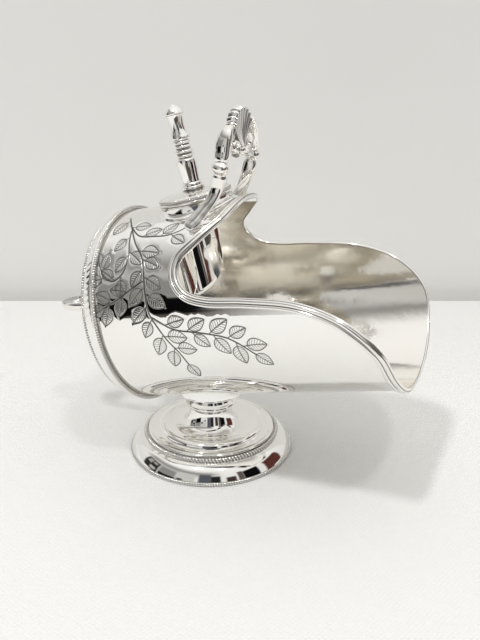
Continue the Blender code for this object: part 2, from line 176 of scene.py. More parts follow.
def facing_out(points, faces):
    """The same solid, with its faces turned outwards."""
    fans = [(f[0], f[k], f[k + 1]) for f in faces for k in range(1, len(f) - 1)]
    a, b, c = (points[np.array(fans)[:, k]] for k in range(3))
    volume = np.einsum("ij,ij->i", a, np.cross(b, c)).sum()
    if volume < 0:
        faces = [f[::-1] for f in faces]
    return points, faces


def ring(turns, radius, height):
    """Points at some turns round Z; the radius and the height may vary from turn to turn."""
    return np.stack([radius * np.cos(turns), radius * np.sin(turns), height + 0 * turns], axis=-1)


def lathe(profile, segments, relief=None):
    """A solid turned about Z from a (radius, height) profile; relief adds to the radius at each place."""
    turns = full_turn(segments)
    radius = np.repeat(profile[:, :1], segments, axis=1)
    height = np.repeat(profile[:, 1:], segments, axis=1)
    if relief is not None:
        radius = radius + relief(turns, radius, height)
    rings = ring(turns, radius, height)
    hollow = profile[0, 0] > 0
    return closed_rings(rings, loop=True) if hollow else closed_rings(rings[1:-1])


def joined(*solids):
    """Several solids as one set of points and faces."""
    points, faces = [], []
    start = 0
    for some_points, some_faces in solids:
        points.append(some_points)
        faces += [[i + start for i in face] for face in some_faces]
        start += len(some_points)
    return np.vstack(points), faces


# A crease starts to darken with tarnish and painted shade at this hollow curvature, and is black this much
# further on, in 1/mm.
CREASE_FROM, CREASE_SPAN = 0.35, 1.3


def creases(mesh):
    """How deep in a crease each point lies: 0 on flat or rounded metal, 1 in a sharp hollow."""
    count = len(mesh.vertices)
    points, normals = np.empty(count * 3), np.empty(count * 3)
    mesh.vertices.foreach_get("co", points)
    mesh.vertex_normals.foreach_get("vector", normals)
    points, normals = points.reshape(-1, 3) / MM, normals.reshape(-1, 3)
    ends = np.empty(len(mesh.edges) * 2, np.int32)
    mesh.edges.foreach_get("vertices", ends)
    first, second = ends.reshape(-1, 2).T
    way = points[second] - points[first]
    reach = np.linalg.norm(way, axis=1)
    bend, weight = np.zeros(count), np.full(count, 1e-9)
    for here, away in ((first, way), (second, -way)):
        np.add.at(bend, here, 2 * (away * normals[here]).sum(axis=1) / np.maximum(reach, 1e-6))
        np.add.at(weight, here, reach)
    return np.clip((bend / weight - CREASE_FROM) / CREASE_SPAN, 0, 1)


def add_object(name, data):
    """An object in the scene for a mesh, a lamp or a camera."""
    made = bpy.data.objects.new(name, data)
    bpy.context.scene.collection.objects.link(made)
    return made


def add_piece(
    name, solid, place, slot, shade_and_tarnish=None, normals=None, body="scuttle", sharp=32, creased=True
):
    """Makes a piece that rides on a body and stands for the CAD node of its name."""
    points, faces = solid
    turn = np.array(place.to_3x3())
    world = points * MM @ turn.T + np.array(place.translation)
    mesh = bpy.data.meshes.new(name)
    mesh.from_pydata(world.tolist(), [], faces)
    mesh.update()
    if creased:
        # Hollow creases get tarnish and painted shade, on top of any given mask.
        found = creases(mesh)
        shade_and_tarnish = found if shade_and_tarnish is None else np.maximum(found, shade_and_tarnish)
    layer = mesh.attributes.new("shade_and_tarnish", "FLOAT", "POINT")
    layer.data.foreach_set("value", np.asarray(shade_and_tarnish, np.float32))
    mesh.shade_smooth()
    if normals is None:
        mesh.set_sharp_from_angle(angle=math.radians(sharp))
    else:
        mesh.normals_split_custom_set_from_vertices((normals @ turn.T).tolist())
    mesh.materials.append(FINISHES[slot])
    piece = add_object(name + "_fine", mesh)
    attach(piece, body)
    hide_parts(name)
    return piece


# ---- Finishes ----

# How worn silver's colour compares with fresh silver's, and the colour of tarnish and painted shade.
WORN_TINT = (0.985, 0.978, 0.962)
SHADE_AND_TARNISH_TONE = (0.022, 0.016, 0.012)


def feed(tree, fed, inputs):
    """Gives some of a node's inputs a value, or a link from another node's output."""
    for key, value in inputs.items():
        if isinstance(value, bpy.types.NodeSocket):
            tree.links.new(value, fed.inputs[key])
        else:
            fed.inputs[key].default_value = value


def node(tree, kind, inputs, output, **settings):
    """Adds a shader node with some of its inputs fed, and gives one of its outputs."""
    made = tree.nodes.new(kind)
    for key, value in settings.items():
        setattr(made, key, value)
    feed(tree, made, inputs)
    return made.outputs[output]


def worked_out(tree, operation, *values, **settings):
    """The result of one sum on numbers or outputs."""
    inputs = dict(enumerate(values))
    return node(tree, "ShaderNodeMath", inputs, "Value", operation=operation, **settings)


def mixed(tree, share, first, second):
    """A colour that goes from the first to the second as the share goes from 0 to 1."""
    inputs = {"Factor": share, "A": first, "B": second}
    return node(tree, "ShaderNodeMix", inputs, "Result", data_type="RGBA")


def ranged(tree, value, low, high, to_low=0.0, to_high=1.0, curve="LINEAR"):
    """A value moved from one range to another and held inside it."""
    inputs = {"Value": value, "From Min": low, "From Max": high, "To Min": to_low, "To Max": to_high}
    return node(tree, "ShaderNodeMapRange", inputs, "Result", interpolation_type=curve)


def bumped(tree, height, strength, distance, **under):
    """A normal bumped by a height; another bump may lie under it."""
    inputs = {"Height": height, "Strength": strength, "Distance": distance, **under}
    return node(tree, "ShaderNodeBump", inputs, "Normal")


def blank_material(name):
    """A new material, its node tree and its shader."""
    made = bpy.data.materials.new(name)
    made.use_nodes = True
    return made, made.node_tree, made.node_tree.nodes["Principled BSDF"]


def silver(name, colour, roughness, ripple, shade_and_tarnish_strength):
    """Polished silver plate: near-white metal, hairline wear, uneven polish, and dark with tarnish and
    painted shade where it is cut or creased.
    """
    made, tree, shader = blank_material(name)
    place = node(tree, "ShaderNodeTexCoord", {}, "Object")
    cloud = node(tree, "ShaderNodeTexNoise", {"Vector": place, "Scale": 42.0, "Detail": 4.0}, "Fac")
    stretch = {"Vector": place, "Scale": (260.0, 900.0, 2600.0), "Rotation": (0.3, 0.2, 0.4)}
    streaks = node(tree, "ShaderNodeMapping", stretch, "Vector")
    hairs = node(tree, "ShaderNodeTexNoise", {"Vector": streaks, "Scale": 1.0, "Detail": 3.0}, "Fac")
    shade_and_tarnish = node(tree, "ShaderNodeAttribute", {}, "Fac", attribute_name="shade_and_tarnish")
    # Tarnish and painted shade: the per-point hollow mask, scaled by this finish's strength, blends to the
    # dark tone.
    dark = worked_out(tree, "MULTIPLY", shade_and_tarnish, shade_and_tarnish_strength, use_clamp=True)

    worn_colour = [tone * share for tone, share in zip(colour, WORN_TINT)]
    tint = mixed(tree, ranged(tree, cloud, 0.3, 0.7), (*colour, 1.0), (*worn_colour, 1.0))
    polish = ranged(tree, cloud, 0.25, 0.75, roughness * 0.7, roughness * 1.5)
    feed(tree, shader, {
        "Base Color": mixed(tree, dark, tint, (*SHADE_AND_TARNISH_TONE, 1.0)),
        "Metallic": 1.0,
        "Roughness": worked_out(tree, "MULTIPLY_ADD", dark, 0.35, polish, use_clamp=True),
        "Normal": bumped(tree, hairs, 0.05, 0.00004, Normal=bumped(tree, cloud, ripple, 0.0006)),
    })
    return made


# The record's material slots and their finishes; the barrel's inside has one of its own.
POLISHED, CAST, MILLED, ENGRAVED = "polished_silver", "cast_silver", "milled_silver", "engraved_silver"
FINISHES = {
    POLISHED: silver(POLISHED, (0.93, 0.925, 0.91), 0.045, 0.03, 0.85),
    CAST: silver(CAST, (0.90, 0.89, 0.87), 0.07, 0.06, 0.9),
    MILLED: silver(MILLED, (0.90, 0.89, 0.87), 0.08, 0.03, 0.9),
    ENGRAVED: silver(ENGRAVED, (0.93, 0.925, 0.91), 0.04, 0.02, 0.95),
}
INSIDE = silver("inside_silver", (0.93, 0.918, 0.89), 0.095, 0.45, 0.8)


# ---- Engraving: leaf sprays cut into the barrel's side ----

# Mesh points follow a cut at this step, and none lie closer together than this gap.
GROOVE_STEP, GROOVE_GAP = 0.5, 0.11

# A cut this deep is fully darkened with tarnish and painted shade. Below are each kind of cut line's half
# width and depth.
BLACK_DEPTH = 0.11
STEM_CUT, OUTLINE_CUT, RIB_CUT, VEIN_CUT = (0.48, 0.19), (0.36, 0.15), (0.36, 0.14), (0.25, 0.09)

# Sprays of leaves: the stem's run as (millimetres along the barrel, degrees round from its top), the
# stops of the leaves on its two sides, and the leaves' length, width and lean from the stem in degrees.
SPRAYS = (
    (((-5, 82), (4, 89), (12, 91), (19, 92.5), (28, 95.5), (34, 100.5), (39, 106.5)),
     (0.13, 0.34, 0.55, 0.72, 0.87), (0.39, 0.59, 0.80), 8.6, 5.9, 47),
    (((-25, 15), (-20, 27), (-15.5, 38), (-10.5, 48), (-8.5, 58.5), (-7.5, 70), (-6.5, 79),
      (-3.5, 87), (0, 95.5), (4, 104), (6, 112)),
     (0.31, 0.37, 0.47, 0.57, 0.80, 0.88), (0.03, 0.42, 0.52, 0.62, 0.69, 0.79, 0.88), 8.3, 5.8, 56),
    (((-22, 23), (-14.5, 33), (-6.5, 34.5), (0, 34.6), (7, 31), (9, 27.5)),
     (0.06, 0.34, 0.60), (0.74,), 7.8, 5.4, 48),
    (((-20, 28), (-19, 36), (-17.5, 46), (-19, 56), (-24, 60.5), (-29, 57), (-32, 50)),
     (0.30, 0.60, 0.82), (0.10, 0.34, 0.68, 0.90), 7.8, 5.5, 50),
    (((-9, 62), (-15, 66), (-22, 71), (-29, 75)), (0.50, 0.85), (0.38, 0.76), 7.4, 5.3, 50),
)


def leaf_half_width(share, width):
    """Half the width of a leaf at a share of its length."""
    return 0.5 * width * np.sin(math.pi * share**0.78) ** 0.8


def leaf_lines(base, heading, length, width, bend):
    """The cut lines of one leaf on the unrolled barrel: its outline, its midrib and its veins."""
    shares = np.linspace(0, 1, 17)
    half = leaf_half_width(shares, width)
    half[0] = half[-1] = 0

    def bent(along, across):
        return np.stack([along * length, across + bend * length * along**2], axis=-1)

    lines = [(np.vstack([bent(shares, half), bent(shares, -half)[::-1]]), *OUTLINE_CUT)]
    lines.append((bent(np.linspace(-0.22, 0.96, 9), np.zeros(9)), *RIB_CUT))
    for side in (1, -1):
        for start in np.linspace(0.1, 0.74, 6):
            end = start + 0.15
            reach = 0.88 * leaf_half_width(end, width)
            vein = bent(np.array([start, end]), np.array([0.06, reach]) * side)
            lines.append((vein, *VEIN_CUT))
    cos, sin = math.cos(heading), math.sin(heading)
    turn = np.array([[cos, -sin], [sin, cos]])
    return [(line @ turn.T + base, half_width, depth) for line, half_width, depth in lines]


def spray(controls, right, left, length, width, lean):
    """A deeply cut stem with leaves at stops on its two sides and one at its tip."""
    steps = 200
    stem = [(u, math.radians(turn) * BARREL_R) for u, turn in controls]
    path = evenly(catmull_rom(stem, 10), steps + 1)

    def leaf(stop, side):
        at = int(stop * steps)
        ahead = path[min(steps, at + 5)] - path[max(0, at - 5)]
        swing = math.radians(lean + 7 * math.cos(9 * stop))
        heading = math.atan2(ahead[1], ahead[0]) + side * swing
        size = 1.0 + 0.08 * math.cos(23 * stop)
        petiole = 1.9 * abs(side) * np.array([math.cos(heading), math.sin(heading)])
        return leaf_lines(path[at] + petiole, heading, size * length, size * width, -0.1 * side)

    lines = [(path[::2], *STEM_CUT)]
    for stops, side in ((right, -1), (left, 1)):
        for stop in stops:
            lines += leaf(stop, side)
    return lines + leaf(1.0, 0)


def engraving():
    """Every cut line on one side, as (distance round, distance along) paths, half widths and depths."""
    lines = [line for controls in SPRAYS for line in spray(*controls)]
    return [(path[:, ::-1], half_width, depth) for path, half_width, depth in lines]


# ---- The barrel ----


def socket_height(radius, turn, on_radius):
    """How far up the scoop's axis the cylinder of on_radius lies, at a place round that axis."""
    y = radius * np.sin(turn)
    w = np.sqrt(on_radius**2 - y**2)
    return (w - radius * np.cos(turn) * math.sin(LEAN)) / math.cos(LEAN)


def hole_edge(count):
    """The scoop's hole on the unrolled barrel, from its rear round to its front."""
    turn = np.linspace(math.pi, 0, count)
    radius = BORE_R + 0.3
    height = socket_height(radius, turn, BARREL_R)
    u = SOCKET_U + radius * np.cos(turn) * math.cos(LEAN) - height * math.sin(LEAN)
    return np.stack([BARREL_R * np.arcsin(radius * np.sin(turn) / BARREL_R), u], axis=1)


def straight(a, b, step):
    count = max(2, int(round(math.dist(a, b) / step)) + 1)
    return np.linspace(a, b, count)


def barrel_outline():
    """The half barrel's outline on the unrolled sheet, as (distance round, distance along)."""
    far = math.pi * BARREL_R
    hole, edge = hole_edge(40), mouth_edge(230)
    runs = [
        straight((far, REAR_U), (0, REAR_U), 1.3),
        straight((0, REAR_U), tuple(hole[0]), 1.5),
        hole,
        straight(tuple(hole[-1]), tuple(edge[0]), 1.5),
        edge,
        straight((far, edge[-1][1]), (far, REAR_U), 1.5),
    ]
    return np.vstack([run[:-1] for run in runs])


def nearest(points, targets):
    """Each point's distance to its nearest target, worked out in blocks."""
    best = np.full(len(points), 1e9)
    for k in range(0, len(targets), 400):
        block = targets[k : k + 400]
        gap = ((points[:, None, :] - block[None, :, :]) ** 2).sum(axis=2).min(axis=1)
        best = np.minimum(best, gap)
    return np.sqrt(best)


def fill_points(step, clear_of, margin):
    """A staggered net of points over the unrolled half barrel, clear of some others."""
    across = np.arange(step / 2, math.pi * BARREL_R, step)
    front_u = max(u for _, u in MOUTH_EDGE) + 1
    along = np.arange(REAR_U + step / 2, front_u, step * 0.87)
    x, y = np.meshgrid(across, along)
    x = x + (np.arange(len(along)) % 2)[:, None] * step / 2
    net = np.stack([x.ravel(), y.ravel()], axis=1)
    net = net[net[:, 0] < math.pi * BARREL_R - step / 3]
    return net[nearest(net, clear_of) > margin]


def thinned(points, apart):
    """The points with near twins dropped."""
    _, keep = np.unique(np.round(points / apart).astype(int), axis=0, return_index=True)
    return points[np.sort(keep)]


def groove_points(lines):
    """Points along the bottom, the slopes and both lips of every cut line."""
    made = []
    for path, half_width, _ in lines:
        path = spaced(path, GROOVE_STEP)
        run = np.gradient(path, axis=0)
        run /= np.maximum(np.linalg.norm(run, axis=1), 1e-9)[:, None]
        across = np.stack([-run[:, 1], run[:, 0]], axis=1) * half_width
        made += [path + share * across for share in (0, 1, -1, 0.5, -0.5)]
    return thinned(np.vstack(made), GROOVE_GAP)


def cut_depth(points, lines):
    """How deep each point lies in the cut lines."""
    depth = np.zeros(len(points))
    for path, half_width, deep in lines:
        low, high = path.min(axis=0) - 0.5, path.max(axis=0) + 0.5
        near = np.where(((points > low) & (points < high)).all(axis=1))[0]
        if not len(near):
            continue
        some = points[near]
        for a, b in zip(path, path[1:]):
            run = b - a
            share = np.clip(((some - a) @ run) / max(run @ run, 1e-12), 0, 1)
            gap = np.linalg.norm(some - a - share[:, None] * run, axis=1)
            depth[near] = np.maximum(depth[near], deep * np.clip(1 - gap / half_width, 0, 1))
    return depth


def cut_slope(points, lines, step=0.06):
    """How fast the cut deepens round the barrel and along it, at each point."""
    slopes = []
    for move in ((step, 0), (0, step)):
        gain = cut_depth(points + move, lines) - cut_depth(points - np.array(move), lines)
        slopes.append(gain / (2 * step))
    return np.stack(slopes, axis=1)


def triangulated(outline, inner):
    """Triangles over the outline that use every inner point inside it."""
    everything = np.vstack([outline, inner])
    coords = [Vector(p) for p in everything]
    border = list(range(len(outline)))
    area = 0.5 * sum(
        a[0] * b[1] - b[0] * a[1] for a, b in zip(outline, np.roll(outline, -1, axis=0))
    )
    face = border if area > 0 else border[::-1]
    found = delaunay_2d_cdt(coords, [], [face], 1, 1e-5)
    return np.array([tuple(v) for v in found[0]]), np.array(found[2])


def rolled(flat, depth):
    """Points on the unrolled sheet as points of the barrel, depth below its outside."""
    turn = flat[:, 0] / BARREL_R
    radius = BARREL_R - depth
    return np.stack([flat[:, 1], radius * np.sin(turn), radius * np.cos(turn)], axis=1)


def boundary_edges(triangles):
    """The directed edges that only one triangle uses."""
    edges = np.concatenate([triangles[:, [0, 1]], triangles[:, [1, 2]], triangles[:, [2, 0]]])
    _, index, count = np.unique(np.sort(edges, axis=1), axis=0, return_inverse=True, return_counts=True)
    return edges[count[index.reshape(-1)] == 1]


def doubled(flat, triangles):
    """The half sheet and its mirror image as one, with the shared seams made one."""
    both = np.vstack([flat, flat * (-1, 1)])
    far = math.pi * BARREL_R
    seam = (np.abs(both[:, 0]) < 1e-3) | (np.abs(np.abs(both[:, 0]) - far) < 1e-3)
    index = np.arange(len(both))
    lookup = {}
    for i in np.where(seam)[0]:
        where = (abs(both[i, 0]) > 1, round(both[i, 1], 3))
        index[i] = lookup.setdefault(where, i)
    return both, index[np.vstack([triangles, triangles[:, ::-1] + len(flat)])]


def engraved_sheet():
    """The barrel's outside on the unrolled sheet: points, triangles, and the cuts' depth and slope."""
    lines = engraving()
    outline = barrel_outline()
    cuts = groove_points(lines)
    cuts = cuts[(cuts[:, 0] > 2) & (cuts[:, 1] > REAR_U + 1.5)]
    cuts = cuts[nearest(cuts, outline) > 0.8]
    net = fill_points(2.0, np.vstack([outline, cuts]), 0.75)
    flat, triangles = triangulated(outline, np.vstack([cuts, net]))
    depth = cut_depth(flat, lines)
    slope = cut_slope(flat, lines) * np.where(depth > 0.004, 1.0, 0.4)[:, None]
    flat, triangles = doubled(flat, triangles)
    return flat, triangles, np.tile(depth, 2), np.vstack([slope, slope * (-1, 1)])


def walls_between(flat, triangles, inner_flat):
    """Faces from the outside's open edges to the inside's, which comes after it."""
    start = len(flat)
    lookup = {tuple(np.round(p, 2)): i + start for i, p in enumerate(inner_flat)}
    sides = []
    for a, b in boundary_edges(triangles):
        inner_a, inner_b = (lookup.get(tuple(np.round(flat[i], 2))) for i in (a, b))
        if inner_a is not None and inner_b is not None:
            sides.append([int(b), int(a), inner_a, inner_b])
    return sides


def barrel_normals(points, slope):
    """Normals square to the barrel, tipped by the cuts outside and turned inwards inside."""
    normals = unit(points * (0, 1, 1))
    outside, inside = normals[: len(slope)], normals[len(slope) :]
    round_about = np.cross((1, 0, 0), outside) * -1
    outside = outside + slope[:, :1] * round_about + slope[:, 1:] * (1, 0, 0)
    return np.vstack([unit(outside), -inside])


def build_barrel():
    flat, triangles, depth, slope = engraved_sheet()
    outline = barrel_outline()
    inner_flat, inner_triangles = doubled(*triangulated(outline, fill_points(3.5, outline, 1.2)))
    inner_depth = np.full(len(inner_flat), BARREL_WALL)
    points = np.vstack([rolled(flat, depth), rolled(inner_flat, inner_depth)])
    faces = triangles.tolist() + (inner_triangles[:, ::-1] + len(flat)).tolist()
    faces += walls_between(flat, triangles, inner_flat)
    solid = facing_out(points, faces)
    # Painted shade and tarnish in the engraved cuts, deeper cuts darker; the inside gets none.
    shade_and_tarnish = np.concatenate([np.clip(depth / BLACK_DEPTH, 0, 1), np.zeros(len(inner_flat))])
    normals = barrel_normals(points, slope)
    piece = add_piece("barrel", solid, BARREL, ENGRAVED, shade_and_tarnish, normals, creased=False)
    piece.data.materials.append(INSIDE)
    finishes = np.zeros(len(faces), np.int32)
    finishes[len(triangles) :] = 1
    piece.data.polygons.foreach_set("material_index", finishes)


# ---- The mouth's reeded rim ----

# Points of the rim's section that lie inside the barrel, before its reeds.
LIP_POINTS = 8


def rim_section():
    """The rim's section as (distance in from the edge, height over the barrel), wrapped over the edge."""
    points = arc(0.25, -0.55, 0.75, 250, 130, LIP_POINTS)
    across = 0.0
    for reed_r in (1.02, 0.90):
        points += [(across + reed_r - x, z) for x, z in arc(0, 0.1, reed_r, 6, 174, 11)]
        across += 2 * reed_r
    points += [(across, -0.1), (0.5, -0.1), (0.45, -1.3)]
    return np.array(points)


def build_mouth_rim():
    half = mouth_edge(300)
    path = np.vstack([half, half[-2:0:-1] * (-1, 1)])
    lap = 2 * math.pi * BARREL_R
    run = np.roll(path, -1, axis=0) - np.roll(path, 1, axis=0)
    run[:, 0] -= lap * np.round(run[:, 0] / lap)
    run = unit(run)
    inward = np.stack([run[:, 1], -run[:, 0]], axis=1)
    section = rim_section()
    spots = path[:, None, :] + inward[:, None, :] * section[None, :, :1]
    turn = spots[..., 0] / BARREL_R
    radius = BARREL_R + section[None, :, 1]
    rings = np.stack([spots[..., 1], radius * np.sin(turn), radius * np.cos(turn)], axis=-1)
    # Painted shade and tarnish low between the reeds and under the rim's edges, none on the lip inside.
    valley_shade_and_tarnish = np.clip(0.75 - section[:, 1], 0, 0.5) * 2.0
    valley_shade_and_tarnish[:LIP_POINTS] = 0
    shade_and_tarnish = np.tile(valley_shade_and_tarnish, len(path))
    add_piece("mouth_rim", closed_rings(rings, loop=True), BARREL, MILLED, shade_and_tarnish, sharp=50)


# ---- Turned pieces ----


def beaded_ring(radius, height, wire_r, pitch, slant=0.0, depth=0.4, samples=7, sides=12):
    """A wire ring cut into beads, and how much tarnish and painted shade each point gets between them."""
    beads = int(round(2 * math.pi * radius / pitch))
    turns = full_turn(beads * samples)[:, None]
    around = full_turn(sides)
    wave = np.abs(np.cos(0.5 * beads * turns + slant * np.sin(around)))
    swell = 1 - depth * (1 - wave**0.6)
    out = radius + wire_r * swell * np.cos(around)
    rings = ring(turns, out, height + wire_r * swell * np.sin(around))
    # Painted shade and tarnish in the necks between the beads.
    shade_and_tarnish = np.clip(1.7 - 2.6 * wave, 0, 1).ravel()
    return closed_rings(rings, loop=True), shade_and_tarnish


def add_beaded(name, place, *shape, body="scuttle", **more):
    solid, shade_and_tarnish = beaded_ring(*shape, **more)
    add_piece(name, solid, place, MILLED, shade_and_tarnish, body=body, sharp=80, creased=False)


def add_turned(name, place, segments, *profile, relief=None, body="scuttle"):
    """A turned piece from its profile: points joined by straight lines, and lists of points that a
    smooth curve takes up from the point before them."""
    points = []
    for part in profile:
        if isinstance(part, list):
            points += list(catmull_rom([points[-1], *part], 6)[1:])
        else:
            points.append(part)
    solid = lathe(np.array(points, float), segments, relief)
    add_piece(name, solid, place, POLISHED, body=body)


def band_relief(turns, radius, height):
    """Low chevrons struck along the back band."""
    off_middle = np.abs((height + 37.9) / 2.6)
    chevron = np.sin(96 * turns + 3.2 * off_middle)
    inside = np.clip(1.15 - off_middle, 0, 1) * (radius > 43.2)
    return 0.16 * chevron * inside


def build_back():
    add_turned(
        "back_band", LENGTHWAYS, 576,
        (46.2, -34.3),
        [(46.35, -35.2), (46.0, -36.6), (45.2, -38.4), (44.2, -39.8), (43.4, -40.6)],
        (42.1, -40.8), (42.0, -36.2), (45.0, -36.1), (45.0, -34.0),
        relief=band_relief,
    )
    add_turned(
        "back_plate", LENGTHWAYS, 192,
        (0, -40.7), [(12, -40.6), (26, -40.3), (34, -39.9), (37.2, -39.7)],
        [(37.8, -39.3), (38.6, -39.2), (39.3, -39.5)],
        [(40.6, -39.5), (41.8, -38.9)],
        (41.9, -37.6), (0, -37.6),
    )
    add_beaded("back_wire_front", LENGTHWAYS, 46.15, -33.5, 0.85, 1.15, slant=0.5)
    add_beaded("back_wire_rear", LENGTHWAYS, 42.95, -41.1, 0.85, 1.15, slant=0.5)


def build_foot():
    add_turned(
        "foot_knop", STAND, 144,
        (0, 26.4), (10.4, 26.4),
        [(11.4, 26.0), (12.3, 25.4), (12.6, 24.6), (12.3, 23.8), (11.5, 23.2), (10.7, 22.9)],
        [(10.3, 22.5), (10.0, 21.7)],
        (0, 21.7),
    )
    add_turned(
        "foot_stem", STAND, 192,
        (0, 21.9), (9.9, 21.9),
        [
            (10.2, 20.2), (11.0, 17.6), (12.1, 15.4), (13.8, 13.7), (16.2, 12.8), (19.0, 12.9),
            (21.4, 13.6),
        ],
        (22.3, 13.95), [(23.4, 14.1), (24.6, 13.7), (25.4, 13.0), (25.7, 12.2)],
        (25.5, 11.9), [(26.4, 11.3), (27.8, 11.0), (29.2, 11.2)],
        [(29.9, 11.55), (30.7, 11.4), (31.0, 10.9), (31.0, 10.2)],
        [(29.0, 9.9), (25.5, 9.8), (20.2, 10.3)],
        [(14.0, 11.6), (11.0, 14.2), (9.6, 17.6), (8.6, 20.6)],
        (0, 20.6),
    )
    add_turned(
        "foot_flare", STAND, 240,
        (29.5, 9.7), (31.4, 9.7), (31.6, 8.7), [(32.8, 8.6), (33.6, 8.3)],
        [(34.7, 7.9), (36.0, 7.0), (37.2, 5.7), (38.2, 4.2), (38.9, 2.9), (39.3, 2.0)],
        (39.0, 1.6), [(37.2, 3.2), (35.6, 5.2), (34.0, 6.6)],
        (29.5, 7.6),
    )
    add_beaded("foot_shoulder_wire", STAND, 32.2, 9.55, 1.15, 1.55, slant=1.2, depth=0.6)
    edge_r = FOOT_R - 1.0
    add_beaded("foot_edge_wire", STAND, edge_r, 0.95, 0.95, 1.2, slant=0.4, depth=0.3)


def build_collar():
    """The dished collar between the foot and the barrel, whose top follows the barrel's underside."""
    turns = full_turn(160)
    lip_r = 16.4

    def underside(radius):
        x, y = radius * np.cos(turns), radius * np.sin(turns)
        drop = np.sqrt((BARREL_R + 0.02) ** 2 - y**2)
        return AXIS_Z + x * math.tan(TILT) - drop / math.cos(TILT)

    dish = catmull_rom([(9.4, 26.25), (9.9, 27.5), (11.2, 28.7), (13.2, 29.7), (15.2, 30.5)], 5)
    lip = catmull_rom([(15.2, 30.5), (16.1, 30.85), (16.5, 31.3), (lip_r, 31.8)], 4)[1:]
    rings = [ring(turns, *spot) for spot in ((8.4, 26.25), *dish, *lip)]
    rings += [ring(turns, radius, underside(radius) + 0.05) for radius in (lip_r, 12, 8, 4)]
    add_piece("foot_collar", closed_rings(rings), STAND, POLISHED, sharp=40)


# ---- The socket and the scoop ----


def build_socket():
    """A short tube with a saddle flange that lies on the barrel."""
    turns = full_turn(200)

    def over_barrel(radius, lift):
        return socket_height(radius, turns, BARREL_R + lift)

    flange = ((FLANGE_R, 0.0, 0.0), (FLANGE_R, 0.1, 0.35), (FLANGE_R, -0.15, 0.7), (FLANGE_R, -0.7, 0.85))
    neck = ((SOCKET_R + 0.8, 0.0, 0.95), (SOCKET_R, 0.25, 1.3), (SOCKET_R, 0.0, 1.9))
    lip = (
        (SOCKET_R, -0.5), (SOCKET_R + 0.3, -0.3), (SOCKET_R + 0.3, -0.1), (SOCKET_R - 0.1, 0.05),
        (BORE_R + 0.1, 0.05), (BORE_R, -0.2),
    )
    skirt = ((BORE_R, 0.0, -1.4), (BORE_R, 0.35, -1.4), (BORE_R, 0.35, 0.0))
    rings = [ring(turns, at + out, over_barrel(at, lift)) for at, out, lift in flange + neck]
    rings += [ring(turns, radius, SOCKET_TOP + rise) for radius, rise in lip]
    rings += [ring(turns, at + out, over_barrel(at, lift)) for at, out, lift in skirt]
    add_piece("scoop_socket", closed_rings(rings, loop=True), SCOOP, POLISHED)


def build_bowl():
    """The scoop's bowl: a tube cut away in front, hooded above and lipped below, like the barrel."""
    side = catmull_rom(
        [
            (15, 40.5), (12.5, 40.1), (8.5, 38.5), (3, 35.3), (0.2, 31), (-0.9, 24), (-1.5, 16),
            (-4, 9.4), (-8.5, 4.2), (-13, 1.4), (-15, 0.9),
        ],
        16,
    )
    turn = np.arccos(np.clip(side[:, 0] / BOWL_R, -1, 1))
    turn[0], turn[-1] = 0, math.pi
    edge = evenly(np.stack([turn * BOWL_R, side[:, 1]], axis=1), 90)
    columns = len(edge)
    start = np.stack([np.linspace(0, math.pi * BOWL_R, columns), np.full(columns, SOCKET_TOP)], axis=1)
    half = start[None] + (edge - start)[None] * np.linspace(0, 1, 24)[:, None, None]
    sheet = np.concatenate([half, half[:, -2:0:-1] * (-1, 1)], axis=1)

    def around(radius):
        return ring(sheet[..., 0] / BOWL_R, radius, sheet[..., 1])

    outside, inside = around(BOWL_R), around(BOWL_R - BOWL_WALL)
    middle = (outside[-1] + inside[-1]) / 2 + (0, 0, -0.35)
    solid = closed_rings(np.concatenate([outside, middle[None], inside[::-1]]), loop=True)
    add_piece("scoop_bowl", solid, SCOOP, POLISHED, body="scoop", sharp=60)


def build_scoop():
    build_bowl()
    add_turned(
        "scoop_cap", SCOOP, 160,
        (0, 51.6), [(4.5, 51.5), (8.5, 51.0), (12, 50.4), (13.6, 50.0)],
        [(14.1, 49.7), (14.7, 49.9), (15.2, 49.6)],
        (15.4, 48.6), [(16.3, 48.4), (16.9, 48.15), (17.05, 47.75), (16.9, 47.35), (16.4, 47.2)],
        (0, 47.1),
        body="scoop",
    )
    add_beaded("scoop_cap_wire", SCOOP, 16.05, 49.15, 0.78, 1.0, slant=0.6, body="scoop")
    add_turned(
        "scoop_handle_shank", SCOOP, 96,
        (0, 65.7), (3.5, 65.7),
        [(4.2, 65.3), (4.5, 64.4), (4.5, 62.0), (4.2, 58.6), (4.0, 56.4), (4.0, 54.9)],
        [(4.3, 54.5), (4.5, 54.0), (4.3, 53.5)],
        [(5.0, 53.1), (5.2, 52.6), (5.0, 52.1), (4.5, 51.8)],
        (5.6, 51.4), (0, 51.2),
        body="scoop",
    )
    knops = [(0, 73.5), (3.5, 73.5)]
    for low, radius in ((71.9, 4.2), (70.1, 4.0), (68.0, 4.5), (66.0, 4.2)):
        waist, shoulder = radius - 0.95, radius - 0.2
        knops.append((waist, low + 1.5))
        knops.append([(shoulder, low + 1.2), (radius, low + 0.75), (shoulder, low + 0.3), (waist, low)])
    knops += [(3.2, 65.6), (0, 65.6)]
    add_turned("scoop_handle_knops", SCOOP, 96, *knops, body="scoop")
    add_turned(
        "scoop_handle_finial", SCOOP, 96,
        (0, 89.6), [(0.9, 89.4), (1.9, 88.7), (3.0, 87.9), (4.0, 86.6), (4.45, 85.5)],
        [(4.3, 85.1), (3.9, 85.0)],
        [(3.5, 83.4), (3.2, 81.0), (3.3, 78.8), (3.9, 76.4), (4.4, 75.0), (4.4, 74.4)],
        [(3.9, 73.8), (3.4, 73.5)],
        (0, 73.4),
        body="scoop",
    )


# ---- Cast handles ----


def ridge(across, middle, width):
    """A smooth ridge, one high, over a place across an arm."""
    return np.exp(-(((across - middle) / width) ** 2))


